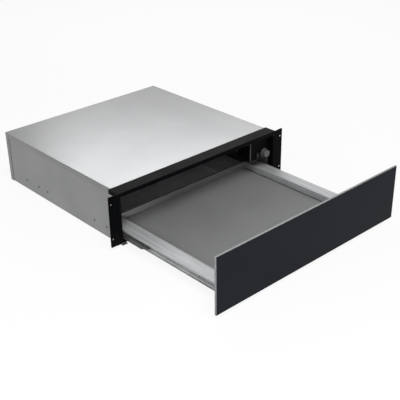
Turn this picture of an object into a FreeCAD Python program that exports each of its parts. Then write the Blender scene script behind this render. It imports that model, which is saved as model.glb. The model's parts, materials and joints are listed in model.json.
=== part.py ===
"""Built-in warming drawer, 14 cm class: housing, front frame, telescopic drawer, fan heater and controls.

Millimetres. X runs to the right, Y to the back, Z up. While the pieces are made, y = 0 is the front plane
of the frame and z = 0 is the surface that the housing stands on. At the end everything is moved along Y, so
that the origin is the middle of the footprint with the drawer pulled out.
"""
import FreeCAD, Part
import math
import os
from FreeCAD import Vector

# housing
housing_width = 515.0          # over the side sheets
rear_room = 68.0               # baffle to the back of the rear panel
housing_height = 139.0         # standing surface to the top of the cover
sheet = 1.0                    # housing sheet
bend = 0.6                     # inner radius of the folds
side_edge = 16.0               # feet and top edges folded in from the side sheets
cover_flange = 14.0            # cover's edge folded down over the side sheets
rear_wrap = 15.0               # rear panel's edge folded round the side sheets
seam = 0.6                     # open seam between neighbouring folded edges
floor_level = 8.0              # underside of the raised floor pan
bead_height = 1.5              # stiffening beads pressed up into the floor pan
bead_width = 14.0
bead_front = 70.0
bead_end_gap = 17.0            # beads to the baffle
bead_spacing = 170.0

# front frame
frame_sheet = 1.5
rail_sheet = 1.0
rail_depth = 36.0              # front plane to the rear edge of the top rail
rail_overhang = 5.5            # top rail beyond each side sheet
rail_drop = 11.0               # height of the top rail's front face
rail_return = 24.0             # lower return of the top rail
flange_reach = 32.5            # screw flange beyond each side sheet
flange_strip = 17.0            # outer strip of the flange, set back for the screw heads
flange_joggle = 1.0
flange_corner = 2.5
flange_bottom = 8.0
flange_rise = 0.5              # flange above the top rail
flange_return = 18.0           # leg that runs back along the side sheet
frame_seam = 0.3
bottom_rail_height = 5.0
bottom_rail_depth = 12.0
screw_hole_radius = 2.25
screw_from_edge = 7.0
screw_low = 29.0
screw_spacing = 90.0

# drawer front
panel_width = 595.0
panel_height = 140.0
panel_bottom = 8.0
glass_thickness = 5.0
glass_bevel = 0.8
carrier_depth = 9.0
carrier_inset = 10.0           # carrier inside the edges of the pane
carrier_wall = 1.2
carrier_round = 1.0
closed_gap = 2.0               # panel to the frame when the drawer is shut
travel = 344.0                 # drawer from shut to pulled out

# tray and mat
tray_sheet = 1.0
tray_depth = 414.0
tray_floor = 25.0              # top of the tray's floor
tray_top = 41.0                # top of the flat side edges
tray_side_gap = 6.5            # skirts to the side sheets
tray_skirt = 35.0              # underside of the flange folded in below the skirts
tray_edge = 35.0               # flat edge at each side of the well
tray_flange = 16.0             # flange folded in below each skirt
tray_lip = 6.0                 # edge folded back behind the rear wall
hem_radius = 1.2
mat_thickness = 2.0
mat_margin = 2.0
mat_corner = 6.0

# telescopic runners: u is the distance in from the side sheet, w the height from the centre line
runner_thickness = 13.0        # side sheet to the angle under the tray
runner_clearance = 0.8         # fixed member to the tray
runner_sheet = 1.0
runner_bend = 0.3
runner_height = 19.0
runner_flange = 8.0
runner_lip = 2.0
cabinet_start = 20.0
cabinet_end_gap = 6.0          # fixed member to the baffle
ball_radius = 1.0
ball_fit = 0.05
cage_sheet = 0.6
cage_gap = 0.2
cage_flange = 5.0
cage_length = 100.0
cage_balls = 2
outer_cage_start = 70.0
inner_cage_start = -45.0
middle_flange = 6.0
middle_length = 300.0
middle_start = -93.0
middle_taper = 30.0            # slanted front end of the middle member
drawer_member_start = 4.0      # behind the carrier
drawer_member_end_gap = 8.0    # before the tray's rear wall
angle_sheet = 1.2
angle_drop = 17.0              # web of the angle below the tray's flange
rivet_rise = 2.3               # rivets above the centre line
front_rivets = (41.0, 90.0)    # from the fixed member's front end
rear_rivets = (111.0, 69.0, 11.0)
rivet_radius = 1.6
rivet_fit = 0.05
rivet_head = 2.4
rivet_head_height = 0.6

# panel fixings
bracket_sheet = 1.5
bracket_depth = 58.0
bracket_bottom = 13.6
bracket_clearance = 0.7        # bracket to the underside of the angle's flange
bumper_radius = 4.0
bumper_x = 264.0
bumper_low = 30.0
bumper_spacing = 80.0
touch_gap = 0.3                # pieces that meet when the drawer is shut

# fan heater behind the baffle
baffle_room = 20.0             # shut tray to the baffle
baffle_edge = 12.0
fan_level = 73.0
fan_radius = 42.0
fan_width = 14.0
fan_eye = 22.0
fan_blades = 14
blade_sheet = 1.0
blade_lean = 28.0
fan_gap = 4.0                  # baffle to the blades
hub_radius = 6.0
hub_length = 12.0
grille_radii = (14.0, 23.0, 32.0)
grille_slot = 4.5
grille_spokes = 6
grille_spoke = 6.0
outlet_slot = 14.0             # half length of an outlet slot
outlet_height = 4.0
outlet_rows = 4
outlet_columns = 2
outlet_pitch_x = 40.0
outlet_pitch_z = 13.0
outlet_low = 60.0
outlet_inner = 140.0
shaft_radius = 2.5
shaft_fit = 0.05
shaft_length = 50.0
bracket_half = 70.0
chamber_depth = 25.0           # baffle to the motor bracket
chamber_bottom = 12.0
chamber_top_gap = 3.0          # motor bracket to the top of the baffle
bracket_foot = 12.0
bracket_hole = 7.5
element_radius = 56.0
element_tube = 3.25
element_setback = 15.0         # behind the baffle
element_gap = 24.0             # degrees between the ends of the ring
element_bend = 8.0
element_tail = 24.0
clip_size = 9.0
clip_fit = 0.2
clip_mouth = 2.8
clip_angles = (30.0, 150.0)
stack_half = 28.0
stack_depth = 18.0
stack_low = 38.0
stack_high = 94.0
rotor_radius = 9.0
rotor_gap = 0.25
rotor_length = 16.0
window_half = 17.0
window_low = 50.0
window_high = 60.0
coil_half = 15.0
coil_wall = 2.0
bearing_depth = 3.5
bearing_half = 6.0
cutout_radius = 8.0
cutout_depth = 6.0
cutout_x = 45.0
cutout_level = 110.0
blade_width = 4.8
blade_thickness = 0.8
blade_length = 7.0

# controls
pod_left = 185.0
pod_right = 253.0
pod_bottom = 66.0
pod_front = 16.0
pod_depth = 46.0
pod_wall = 2.0
pod_corner = 6.0
groove_x = 242.0
groove_low = 96.0
groove_length = 25.0
groove_width = 0.8
groove_depth = 0.6
knob_x = 236.0
knob_level = 80.0
knob_radius = 12.5
knob_skirt = 1.5
knob_waist = 11.0
knob_tip = 10.0
knob_length = 12.7
knob_grips = 12
knob_grip_radius = 1.2
knob_mark_width = 1.2
knob_mark_depth = 0.5
spindle_radius = 3.0
spindle_flat = 2.2
spindle_fit = 0.05
spindle_reach = 9.0            # spindle inside the knob
spindle_inner = 14.0
bushing_radius = 4.5
cup_radius = 10.5
cup_depth = 18.0
stat_half = 9.0
stat_depth = 14.0
rocker_x = 212.0
rocker_level = 79.0
rocker_half = 4.3
rocker_tall = 6.3              # half height
rocker_front = 13.4
rocker_dish = 0.9
rocker_pivot = 20.5            # y of the rocker's pivot
rocker_swing = 12.0
rocker_room = 0.3
pivot_radius = 1.2
switch_wall = 0.9
switch_tall = 8.5              # half height
switch_depth = 20.0
switch_pocket = 9.0
bezel = 1.1
bezel_depth = 1.0

# latch and door switch
plunger_level = 33.0
plunger_fit = 0.3
latch_x = -150.0
latch_radius = 4.0
latch_travel = 8.0
latch_tail = 17.0              # plunger inside its body
latch_wall = 3.7
latch_end = 4.0
striker_half = 9.0
striker_sheet = 1.5
striker_low = 27.0
striker_high = 38.0
contact_x = 150.0
contact_radius = 2.0
contact_travel = 3.0
contact_tail = 12.0
contact_half = 9.0

# rear connections
gland_x = 190.0
gland_level = 40.0
gland_bore = 4.5
gland_radius = 8.0
gland_length = 14.0
gland_nut = 11.5               # centre to a corner of the nut
gland_nut_depth = 4.0
terminal_width = 46.0
terminal_depth = 20.0
terminal_height = 18.0
terminal_ways = 3
terminal_setback = 24.0        # rear panel to the terminal block
vent_rows = 4
vent_columns = 4
vent_pitch_x = 28.0
vent_pitch_z = 9.0
vent_half = 10.0
vent_radius = 1.6

# worked out from the values above
half = housing_width / 2
inside = half - sheet
outer = half + sheet
floor_top = floor_level + sheet
side_top = housing_height - sheet
rail_bottom = housing_height - rail_drop
flange_top = housing_height + flange_rise
baffle_top = side_top - sheet
chamber_top = baffle_top - chamber_top_gap
rail_end = half + rail_overhang
leg_inner = inside - frame_sheet
flange_end = half + flange_reach
panel_back = -closed_gap - travel
glass_front = panel_back - carrier_depth - glass_thickness
tray_half = inside - tray_side_gap
well_half = tray_half - tray_edge
angle_web = inside - runner_thickness
runner_level = tray_skirt - runner_clearance - runner_height / 2
rivet_level = runner_level + rivet_rise
tray_rear = panel_back + tray_depth
baffle_plane = tray_rear + travel + baffle_room
housing_depth = baffle_plane + rear_room
rear_inner = housing_depth - sheet
cabinet_length = baffle_plane - cabinet_end_gap - cabinet_start
drawer_member_length = tray_depth - drawer_member_start - drawer_member_end_gap
rivet_places = [cabinet_start + place for place in front_rivets]
rivet_places += [cabinet_start + cabinet_length - place for place in rear_rivets]
knob_back = pod_front - touch_gap
knob_front = knob_back - knob_length
bracket_plane = baffle_plane + sheet + chamber_depth
bracket_back = bracket_plane + frame_sheet
element_plane = baffle_plane + element_setback
fan_front = baffle_plane + sheet + fan_gap
stack_front = bracket_back + bearing_depth
baffle_back = baffle_plane + sheet
origin_y = (glass_front + housing_depth) / 2

along_x = Vector(1, 0, 0)
along_y = Vector(0, 1, 0)
along_z = Vector(0, 0, 1)


def block(x0, x1, y0, y1, z0, z1):
    """Box between two corners."""
    return Part.makeBox(x1 - x0, y1 - y0, z1 - z0, Vector(x0, y0, z0))


def rod(x, y, z, radius, length, direction):
    """Cylinder from a centre point along a direction."""
    return Part.makeCylinder(radius, length, Vector(x, y, z), direction)


def across_x(a, b):
    """Section point in a plane across X: a is y, b is z."""
    return Vector(0, a, b)


def across_y(a, b):
    """Section point in a plane across Y: a is x, b is z."""
    return Vector(a, 0, b)


def across_z(a, b):
    """Section point in a plane across Z: a is x, b is y."""
    return Vector(a, b, 0)


def corner(before, at, after, thickness, radius):
    """One fold of a sheet: points of its arc on the outline and on the face at its right-hand side."""
    first = (at - before).normalize()
    second = (after - at).normalize()
    turn = math.atan2(first.x * second.y - first.y * second.x, first.dot(second))
    right = Vector(first.y + second.y, -first.x - second.x, 0)
    mitre = at + right * (thickness / (1 + first.dot(second)))
    lean = right.normalize()
    if turn > 0:
        lean = -lean
    arcs = []
    for tip, inner in ((at, turn > 0), (mitre, turn < 0)):
        arc_radius = radius if inner else radius + thickness
        reach = arc_radius * math.tan(abs(turn) / 2)
        middle = tip + lean * (arc_radius / math.cos(turn / 2) - arc_radius)
        arcs.append((tip - first * reach, middle, tip + second * reach))
    return arcs


def folded(points, thickness, radius, place, run):
    """Folded sheet from an open outline of one face, with the sheet's thickness at its right-hand side."""
    path = [Vector(a, b, 0) for a, b in points]
    first = (path[1] - path[0]).normalize()
    last = (path[-1] - path[-2]).normalize()
    near = [(path[0],)]
    far = [(path[0] + Vector(first.y, -first.x, 0) * thickness,)]
    for before, at, after in zip(path, path[1:], path[2:]):
        near_arc, far_arc = corner(before, at, after, thickness, radius)
        near.append(near_arc)
        far.append(far_arc)
    near.append((path[-1],))
    far.append((path[-1] + Vector(last.y, -last.x, 0) * thickness,))
    loop = near + [arc[::-1] for arc in far[::-1]]
    edges = []
    for arc, following in zip(loop, loop[1:] + loop[:1]):
        stops = [place(point.x, point.y) for point in arc]
        if len(stops) == 3:
            edges.append(Part.Arc(*stops).toShape())
        target = place(following[0].x, following[0].y)
        edges.append(Part.LineSegment(stops[-1], target).toShape())
    return Part.Face(Part.Wire(edges)).extrude(run)


def mirrored(shape, side):
    """The piece as made on the right, or its mirror image on the left."""
    if side > 0:
        return shape
    return shape.mirror(Vector(0, 0, 0), along_x)


def slot(centre, half_length, radius, along, through):
    """Cutter with round ends; its length includes the ends."""
    straight = along * (half_length - radius)
    width = through.normalize().cross(along) * radius
    start = centre - straight
    end = centre + straight
    wire = Part.Wire([
        Part.LineSegment(start + width, end + width).toShape(),
        Part.Arc(end + width, end + along * radius, end - width).toShape(),
        Part.LineSegment(end - width, start - width).toShape(),
        Part.Arc(start - width, start - along * radius, start + width).toShape(),
    ])
    return Part.Face(wire)


def slot_cut(centre, half_length, radius, along, through, depth):
    """Slot cutter pushed through a sheet."""
    return slot(centre, half_length, radius, along, through).extrude(through * depth)


def lines_along(shape, direction, test):
    """Straight edges along a direction whose middle point passes a test."""
    found = []
    for edge in shape.Edges:
        if isinstance(edge.Curve, Part.Line) and abs(edge.Curve.Direction.dot(direction)) > 0.999:
            if test(edge.CenterOfMass):
                found.append(edge)
    return found


def side_panel(side):
    """Side sheet with its foot and its top edge folded in, drilled for the runner rivets."""
    points = [(half - side_edge - sheet, side_top), (half, side_top), (half, 0), (half - side_edge - sheet, 0)]
    start = frame_sheet + flange_joggle
    panel = folded(points, sheet, bend, across_y, along_y * (rear_inner - bend - start))
    panel.translate(along_y * start)
    for y in rivet_places:
        panel = panel.cut(rod(inside - sheet, y, rivet_level, rivet_radius + rivet_fit, 3 * sheet, along_x))
    return mirrored(panel, side)


def base_pan():
    """Raised floor, folded down along the side sheets, with three stiffening beads pressed up."""
    front = rail_sheet + frame_seam
    low = sheet + bend
    points = [(-inside, low), (-inside, floor_top), (inside, floor_top), (inside, low)]
    pan = folded(points, sheet, bend, across_y, along_y * (rear_inner - front))
    pan.translate(along_y * front)
    bead_rear = baffle_plane - bead_end_gap
    middle = (bead_front + bead_rear) / 2
    reach = (bead_rear - bead_front) / 2
    for x in (-bead_spacing, 0, bead_spacing):
        centre = Vector(x, middle, floor_level)
        bead = slot_cut(centre, reach, bead_width / 2, along_y, along_z, sheet + bead_height)
        hollow = slot_cut(centre, reach - sheet, bead_width / 2 - sheet, along_y, along_z, bead_height)
        pan = pan.fuse(bead).cut(hollow)
    clear = flange_return + frame_seam
    for side in (-1, 1):
        room = block(leg_inner - frame_seam, outer, 0, clear, 0, floor_top + sheet)
        pan = pan.cut(mirrored(room, side))
    return pan


def rear_panel():
    """Rear sheet, folded forward round the side sheets, with air slots and the cable hole."""
    start = housing_depth - rear_wrap
    points = [(-outer, start), (-outer, housing_depth), (outer, housing_depth), (outer, start)]
    panel = folded(points, sheet, bend, across_z, along_z * side_top)
    cutters = [rod(gland_x, rear_inner - sheet, gland_level, gland_radius, 3 * sheet, along_y)]
    for row in range(vent_rows):
        for column in range(vent_columns):
            x = (column - (vent_columns - 1) / 2) * vent_pitch_x
            z = fan_level + (row - (vent_rows - 1) / 2) * vent_pitch_z
            place = Vector(x, rear_inner - sheet, z)
            cutters.append(slot_cut(place, vent_half, vent_radius, along_x, along_y, 3 * sheet))
    return panel.cut(cutters)


def top_cover():
    """Cover, folded down over the side sheets as far as the rear panel's edges."""
    low = housing_height - cover_flange
    points = [(-outer, low), (-outer, housing_height), (outer, housing_height), (outer, low)]
    cover = folded(points, sheet, bend, across_y, along_y * (housing_depth - rail_depth))
    cover.translate(along_y * rail_depth)
    start = housing_depth - rear_wrap - seam
    for side in (-1, 1):
        room = block(half, outer + sheet, start, housing_depth + sheet, low - sheet, side_top)
        cover = cover.cut(mirrored(room, side))
    return cover


def top_front_rail():
    """Top rail: flat top, low front face and a return between the flange legs, with closed ends."""
    points = [(rail_return, rail_bottom), (0, rail_bottom), (0, housing_height), (rail_depth, housing_height)]
    rail = folded(points, rail_sheet, bend, across_x, along_x * (2 * rail_end))
    rail.translate(along_x * -rail_end)
    for side in (-1, 1):
        room = block(leg_inner - frame_seam, rail_end + sheet, rail_sheet, rail_depth,
                     rail_bottom - sheet, housing_height - rail_sheet)
        cap = block(rail_end - rail_sheet, rail_end, bend, rail_depth, rail_bottom, housing_height - bend)
        rail = rail.cut(mirrored(room, side)).fuse(mirrored(cap, side))
    return rail


def mounting_flange(side):
    """Screw flange: plate, set-back outer strip with two screw holes, and a leg along the side sheet."""
    step = flange_end - flange_strip
    points = [
        (flange_end, flange_joggle),
        (step + flange_joggle, flange_joggle),
        (step, 0),
        (leg_inner, 0),
        (leg_inner, flange_return),
    ]
    plate = folded(points, frame_sheet, bend, across_z, along_z * (flange_top - flange_bottom))
    plate.translate(along_z * flange_bottom)
    room = block(leg_inner - sheet, rail_end + frame_seam, -sheet, flange_return + sheet,
                 rail_bottom - frame_seam, flange_top + sheet)
    plate = plate.cut(room)
    corners = lines_along(plate, along_y, lambda c: c.x > flange_end - 0.1)
    plate = plate.makeFillet(flange_corner, corners)
    for z in (screw_low, screw_low + screw_spacing):
        hole = rod(flange_end - screw_from_edge, -sheet, z, screw_hole_radius, 5 * sheet, along_y)
        plate = plate.cut(hole)
    return mirrored(plate, side)


def bottom_front_rail():
    """Low rail under the drawer: front face over the pan's edge, flat top and a lip down to the pan."""
    top = floor_level + bottom_rail_height
    reach = leg_inner - frame_seam
    points = [(0, floor_level), (0, top), (bottom_rail_depth, top), (bottom_rail_depth, floor_top)]
    rail = folded(points, rail_sheet, bend, across_x, along_x * (2 * reach))
    rail.translate(along_x * -reach)
    return rail


def rear_baffle():
    """Wall between the drawer's space and the fan heater, with a round grille and outlet slots."""
    points = [(baffle_plane, floor_top), (baffle_plane, baffle_top), (baffle_plane + baffle_edge, baffle_top)]
    reach = inside - bend
    wall = folded(points, sheet, bend, across_x, along_x * (2 * reach))
    wall.translate(along_x * -reach)
    start = baffle_plane - sheet
    through = 3 * sheet
    spokes = []
    for index in range(grille_spokes):
        spoke = block(0, fan_radius, start - sheet, start + through + sheet,
                      fan_level - grille_spoke / 2, fan_level + grille_spoke / 2)
        spoke.rotate(Vector(0, 0, fan_level), along_y, 360.0 * index / grille_spokes)
        spokes.append(spoke)
    for radius in grille_radii:
        ring = rod(0, start, fan_level, radius + grille_slot, through, along_y)
        ring = ring.cut(rod(0, start, fan_level, radius, through, along_y)).cut(spokes)
        wall = wall.cut(ring)
    slots = []
    for side in (-1, 1):
        for row in range(outlet_rows):
            for column in range(outlet_columns):
                x = side * (outlet_inner + column * outlet_pitch_x)
                place = Vector(x, start, outlet_low + row * outlet_pitch_z)
                slots.append(slot_cut(place, outlet_slot, outlet_height / 2, along_x, along_y, through))
    slots.append(rod(latch_x, start, plunger_level, latch_radius + plunger_fit, through, along_y))
    slots.append(rod(contact_x, start, plunger_level, contact_radius + plunger_fit, through, along_y))
    return wall.cut(slots)


def ring_tail(degrees, side):
    """Bend from one end of the ring and its straight tail, and the centre of the tail."""
    turn = math.radians(degrees)
    out = Vector(math.cos(turn), 0, math.sin(turn))
    leave = Vector(-math.sin(turn), 0, math.cos(turn)) * side
    point = Vector(0, element_plane, fan_level) + out * element_radius
    section = Part.Face(Part.Wire(Part.Circle(point, leave, element_tube).toShape()))
    axis = leave.cross(along_y)
    elbow = section.revolve(point + along_y * element_bend, axis, 90)
    turned = point + (leave + along_y) * element_bend
    return elbow, rod(turned.x, turned.y, turned.z, element_tube, element_tail, along_y), turned


ring_start = element_gap / 2 - 90
ring_end = ring_start + 360 - element_gap
ring_tails = (ring_tail(ring_start, -1), ring_tail(ring_end, 1))


def heating_element():
    """Ring element round the fan wheel, with both ends bent back through the bracket."""
    centre = Vector(0, element_plane, fan_level)
    start = Part.Circle(centre + along_x * element_radius, along_z, element_tube)
    section = Part.Face(Part.Wire(start.toShape()))
    ring = section.revolve(centre, along_y, -360 + element_gap)
    ring.rotate(centre, along_y, -ring_start)
    pieces = []
    for elbow, tail, place in ring_tails:
        pieces += [elbow, tail]
    return ring.fuse(pieces)


def motor_bracket():
    """Hat-shaped bracket that closes the fan chamber behind the baffle and carries the motor."""
    reach = bracket_half + bracket_foot
    points = [
        (-reach, baffle_back + frame_sheet),
        (-bracket_half, baffle_back + frame_sheet),
        (-bracket_half, bracket_back),
        (bracket_half, bracket_back),
        (bracket_half, baffle_back + frame_sheet),
        (reach, baffle_back + frame_sheet),
    ]
    bracket = folded(points, frame_sheet, bend, across_z, along_z * (chamber_top - chamber_bottom))
    bracket.translate(along_z * chamber_bottom)
    bracket = bracket.cut(rod(0, bracket_plane - 1, fan_level, bracket_hole, frame_sheet + 2, along_y))
    for elbow, tail, place in ring_tails:
        hole = rod(place.x, bracket_plane - 1, place.z, element_tube + ball_fit, frame_sheet + 2, along_y)
        bracket = bracket.cut(hole)
    return bracket


def element_clips():
    """Clips on the bracket that hold the ring at its sides, open towards the baffle."""
    clips = []
    front = element_plane - element_tube
    for angle in clip_angles:
        clip = block(-clip_size / 2, clip_size / 2, front, bracket_plane, -clip_size / 2, clip_size / 2)
        seat = rod(0, element_plane, -clip_size, element_tube + clip_fit, 2 * clip_size, along_z)
        mouth = block(-clip_mouth, clip_mouth, front - 1, element_plane, -clip_size, clip_size)
        clip = clip.cut([seat, mouth])
        clip.rotate(Vector(0, 0, 0), along_y, -angle)
        turn = math.radians(angle)
        clip.translate(Vector(element_radius * math.cos(turn), 0, fan_level + element_radius * math.sin(turn)))
        clips.append(clip)
    return Part.makeCompound(clips)


def fan_stator():
    """Laminated stack with its coil and the two bridges that hold the bearings."""
    stack = block(-stack_half, stack_half, stack_front, stack_front + stack_depth, stack_low, stack_high)
    window = block(-window_half, window_half, stack_front - 1, stack_front + stack_depth + 1,
                   window_low, window_high)
    bore = rod(0, stack_front - 1, fan_level, rotor_radius + rotor_gap, stack_depth + 2, along_y)
    coil = block(-coil_half, coil_half, stack_front - coil_wall, stack_front + stack_depth + coil_wall,
                 stack_low - coil_wall, window_high - coil_wall)
    coil = coil.makeFillet(coil_wall, lines_along(coil, along_x, lambda c: True))
    stator = stack.cut([window, bore]).fuse(coil)
    hole = rod(0, bracket_back - 1, fan_level, shaft_radius + shaft_fit,
               stack_depth + 3 * bearing_depth, along_y)
    for y in (bracket_back, stack_front + stack_depth):
        bridge = block(-stack_half + 2, stack_half - 2, y, y + bearing_depth,
                       fan_level - bearing_half, fan_level + bearing_half)
        stator = stator.fuse(bridge.cut(hole))
    return stator


def motor_shaft():
    """Motor shaft with its rotor."""
    start = fan_front + fan_width - hub_length + 1
    shaft = rod(0, start, fan_level, shaft_radius, shaft_length, along_y)
    shaft = shaft.makeChamfer(0.4, [edge for edge in shaft.Edges if isinstance(edge.Curve, Part.Circle)])
    place = stack_front + (stack_depth - rotor_length) / 2
    return shaft.fuse(rod(0, place, fan_level, rotor_radius, rotor_length, along_y))


def fan_impeller():
    """Fan wheel: back disc with a hub and leaning blades."""
    back = fan_front + fan_width
    wheel = rod(0, back, fan_level, fan_radius, blade_sheet, along_y)
    wheel = wheel.fuse(rod(0, back - hub_length + 4, fan_level, hub_radius, hub_length, along_y))
    for index in range(fan_blades):
        blade = block(0, fan_radius - fan_eye - 2, fan_front, back, -blade_sheet / 2, blade_sheet / 2)
        blade.rotate(Vector(0, 0, 0), along_y, blade_lean)
        blade.translate(Vector(fan_eye, 0, 0))
        blade.rotate(Vector(0, 0, 0), along_y, 360.0 * index / fan_blades)
        blade.translate(along_z * fan_level)
        wheel = wheel.fuse(blade)
    return wheel.cut(rod(0, fan_front - 1, fan_level, shaft_radius, shaft_length, along_y))


def blade_terminals(x, y, z, spacing, count):
    """Row of flat plug blades standing off a face."""
    blades = []
    for index in range(count):
        place = x + (index - (count - 1) / 2) * spacing
        blades.append(block(place - blade_width / 2, place + blade_width / 2, y, y + blade_length,
                            z - blade_thickness / 2, z + blade_thickness / 2))
    return blades


def thermal_cutout():
    """Button thermostat that switches the element off when the fan stops."""
    body = rod(cutout_x, bracket_back, cutout_level, cutout_radius, cutout_depth, along_y)
    cap = rod(cutout_x, bracket_back + cutout_depth, cutout_level, cutout_radius - 2, 2.0, along_y)
    blades = blade_terminals(cutout_x, bracket_back + cutout_depth, cutout_level, blade_width + 1.6, 2)
    return body.fuse([cap] + blades)


def control_pod():
    """Moulded housing for the controls: rounded corner, openings and a groove, open at the back."""
    pod = block(pod_left, pod_right, pod_front, pod_front + pod_depth, pod_bottom, rail_bottom)
    pod = pod.makeFillet(pod_corner, lines_along(
        pod, along_y, lambda c: c.x < pod_left + 1 and c.z < pod_bottom + 1))
    hollow = block(pod_left + pod_wall, pod_right - pod_wall, pod_front + pod_wall,
                   pod_front + pod_depth + 1, pod_bottom + pod_wall, rail_bottom - pod_wall)
    hollow = hollow.makeFillet(pod_corner - pod_wall, lines_along(
        hollow, along_y, lambda c: c.x < pod_left + pod_wall + 1 and c.z < pod_bottom + pod_wall + 1))
    start = pod_front - 1
    through = pod_wall + 2
    bushing = rod(knob_x, start, knob_level, bushing_radius + ball_fit, through, along_y)
    width = rocker_half + rocker_room + switch_wall + ball_fit
    window = block(rocker_x - width, rocker_x + width, start, start + through,
                   rocker_level - switch_tall - ball_fit, rocker_level + switch_tall + ball_fit)
    groove = block(groove_x, groove_x + groove_width, start, pod_front + groove_depth,
                   groove_low, groove_low + groove_length)
    return pod.cut([hollow, bushing, window, groove])


def thermostat_body():
    """Thermostat: threaded bushing, round cup and a ceramic block with two blades."""
    seat = pod_front + pod_wall
    bushing = rod(knob_x, pod_front, knob_level, bushing_radius, pod_wall + 1, along_y)
    cup = rod(knob_x, seat, knob_level, cup_radius, cup_depth, along_y)
    ceramic = block(knob_x - stat_half, knob_x + stat_half, seat + cup_depth, seat + cup_depth + stat_depth,
                    knob_level - stat_half, knob_level + stat_half)
    corners = lines_along(ceramic, along_y, lambda c: True)
    ceramic = ceramic.makeChamfer(2.0, corners)
    bore = rod(knob_x, pod_front - 1, knob_level, spindle_radius + spindle_fit,
               spindle_inner + 1 + pod_wall, along_y)
    blades = blade_terminals(knob_x, seat + cup_depth + stat_depth, knob_level, 2 * blade_width, 2)
    return bushing.fuse([cup, ceramic] + blades).cut(bore)


def spindle(radius, start, length):
    """Round spindle with a flat on top."""
    bar = rod(knob_x, start, knob_level, radius, length, along_y)
    flat = block(knob_x - radius - 1, knob_x + radius + 1, start - 1, knob_back + ball_fit,
                 knob_level + spindle_flat + radius - spindle_radius, knob_level + radius + 1)
    return bar.cut(flat)


def thermostat_shaft():
    """Spindle that the knob is pushed on to."""
    return spindle(spindle_radius, knob_back - spindle_reach, spindle_reach + spindle_inner)


def control_knob():
    """Turned knob: a skirt, a tapered grip with shallow flutes, a pointer line and a bore for the spindle."""
    skirt_start = knob_back - knob_skirt
    profile = Part.makePolygon([
        Vector(0, knob_back, 0),
        Vector(knob_radius, knob_back, 0),
        Vector(knob_radius, skirt_start, 0),
        Vector(knob_waist, skirt_start - 0.6, 0),
        Vector(knob_tip, knob_front + 0.8, 0),
        Vector(knob_tip - 0.8, knob_front, 0),
        Vector(0, knob_front, 0),
        Vector(0, knob_back, 0),
    ])
    knob = Part.Face(profile).revolve(Vector(0, 0, 0), along_y, 360)
    knob.translate(Vector(knob_x, 0, knob_level))
    flutes = []
    for index in range(knob_grips):
        turn = 2 * math.pi * (index + 0.5) / knob_grips
        reach = knob_waist + 0.3
        flutes.append(rod(knob_x + reach * math.cos(turn), knob_front - 1, knob_level + reach * math.sin(turn),
                          knob_grip_radius, knob_length - knob_skirt, along_y))
    mark = block(knob_x - knob_mark_width / 2, knob_x + knob_mark_width / 2, knob_front - 1,
                 knob_front + knob_mark_depth, knob_level + 2, knob_level + knob_tip + 1)
    start = knob_back - spindle_reach - ball_fit
    bore = spindle(spindle_radius + ball_fit, start, spindle_reach + 1)
    return knob.cut(flutes + [mark, bore])


def rocker_position():
    """Half width and end of the switch body's pocket."""
    return rocker_half + rocker_room


def switch_body():
    """Rocker switch body: bezel, walls round the rocker with its pivot holes, and three blades."""
    room = rocker_position()
    width = room + switch_wall
    frame = block(rocker_x - width - bezel, rocker_x + width + bezel, pod_front - bezel_depth, pod_front,
                  rocker_level - switch_tall - bezel, rocker_level + switch_tall + bezel)
    body = block(rocker_x - width, rocker_x + width, pod_front - bezel_depth, pod_front + switch_depth,
                 rocker_level - switch_tall, rocker_level + switch_tall)
    pocket = block(rocker_x - room, rocker_x + room, pod_front - bezel_depth - 1, pod_front + switch_pocket,
                   rocker_level - switch_tall + switch_wall, rocker_level + switch_tall - switch_wall)
    pivot = rod(rocker_x - width, rocker_pivot, rocker_level, pivot_radius + ball_fit, 2 * width, along_x)
    blades = blade_terminals(rocker_x, pod_front + switch_depth, rocker_level, 0, 1)
    for lift in (-5.5, 5.5):
        blades += blade_terminals(rocker_x, pod_front + switch_depth, rocker_level + lift, 0, 1)
    return body.fuse([frame] + blades).cut([pocket, pivot])


def power_rocker():
    """Rocker with a dished front, its pivot pins, and a round back; shown tipped to its off side."""
    profile = Part.makePolygon([
        Vector(0, rocker_front, rocker_tall),
        Vector(0, rocker_front + rocker_dish, 0),
        Vector(0, rocker_front, -rocker_tall),
        Vector(0, rocker_pivot - 2, -rocker_tall),
        Vector(0, rocker_pivot + 2, -rocker_tall / 2),
        Vector(0, rocker_pivot + 2, rocker_tall / 2),
        Vector(0, rocker_pivot - 2, rocker_tall),
        Vector(0, rocker_front, rocker_tall),
    ])
    rocker = Part.Face(profile).extrude(along_x * (2 * rocker_half))
    rocker.translate(Vector(rocker_x - rocker_half, 0, rocker_level))
    reach = rocker_position() + switch_wall - ball_fit
    pin = rod(rocker_x - reach, rocker_pivot, rocker_level, pivot_radius, 2 * reach, along_x)
    rocker = rocker.fuse(pin)
    rocker.rotate(Vector(rocker_x, rocker_pivot, rocker_level), along_x, -rocker_swing / 2)
    return rocker


def latch_body():
    """Body of the push latch behind the baffle, with the plunger's guide."""
    reach = latch_radius + plunger_fit + latch_wall
    deep = latch_tail + latch_travel + latch_end
    body = block(latch_x - reach, latch_x + reach, baffle_back, baffle_back + deep,
                 plunger_level - reach, plunger_level + reach)
    body = body.makeFillet(2.0, lines_along(body, along_y, lambda c: True))
    guide = rod(latch_x, baffle_back - 1, plunger_level, latch_radius + plunger_fit,
                deep - latch_end + 2, along_y)
    return body.cut(guide)


def plunger(x, radius, tip, end):
    """Plunger with a tapered tip."""
    taper = radius / 2
    nose = Part.makeCone(radius - taper / 2, radius, taper, Vector(x, tip, plunger_level), along_y)
    return nose.fuse(rod(x, tip + taper, plunger_level, radius, end - tip - taper, along_y))


def latch_plunger():
    """Plunger of the push latch, just behind the striker of the shut drawer."""
    tip = tray_rear + travel + striker_sheet + touch_gap
    return plunger(latch_x, latch_radius, tip, baffle_back + latch_tail)


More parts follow.
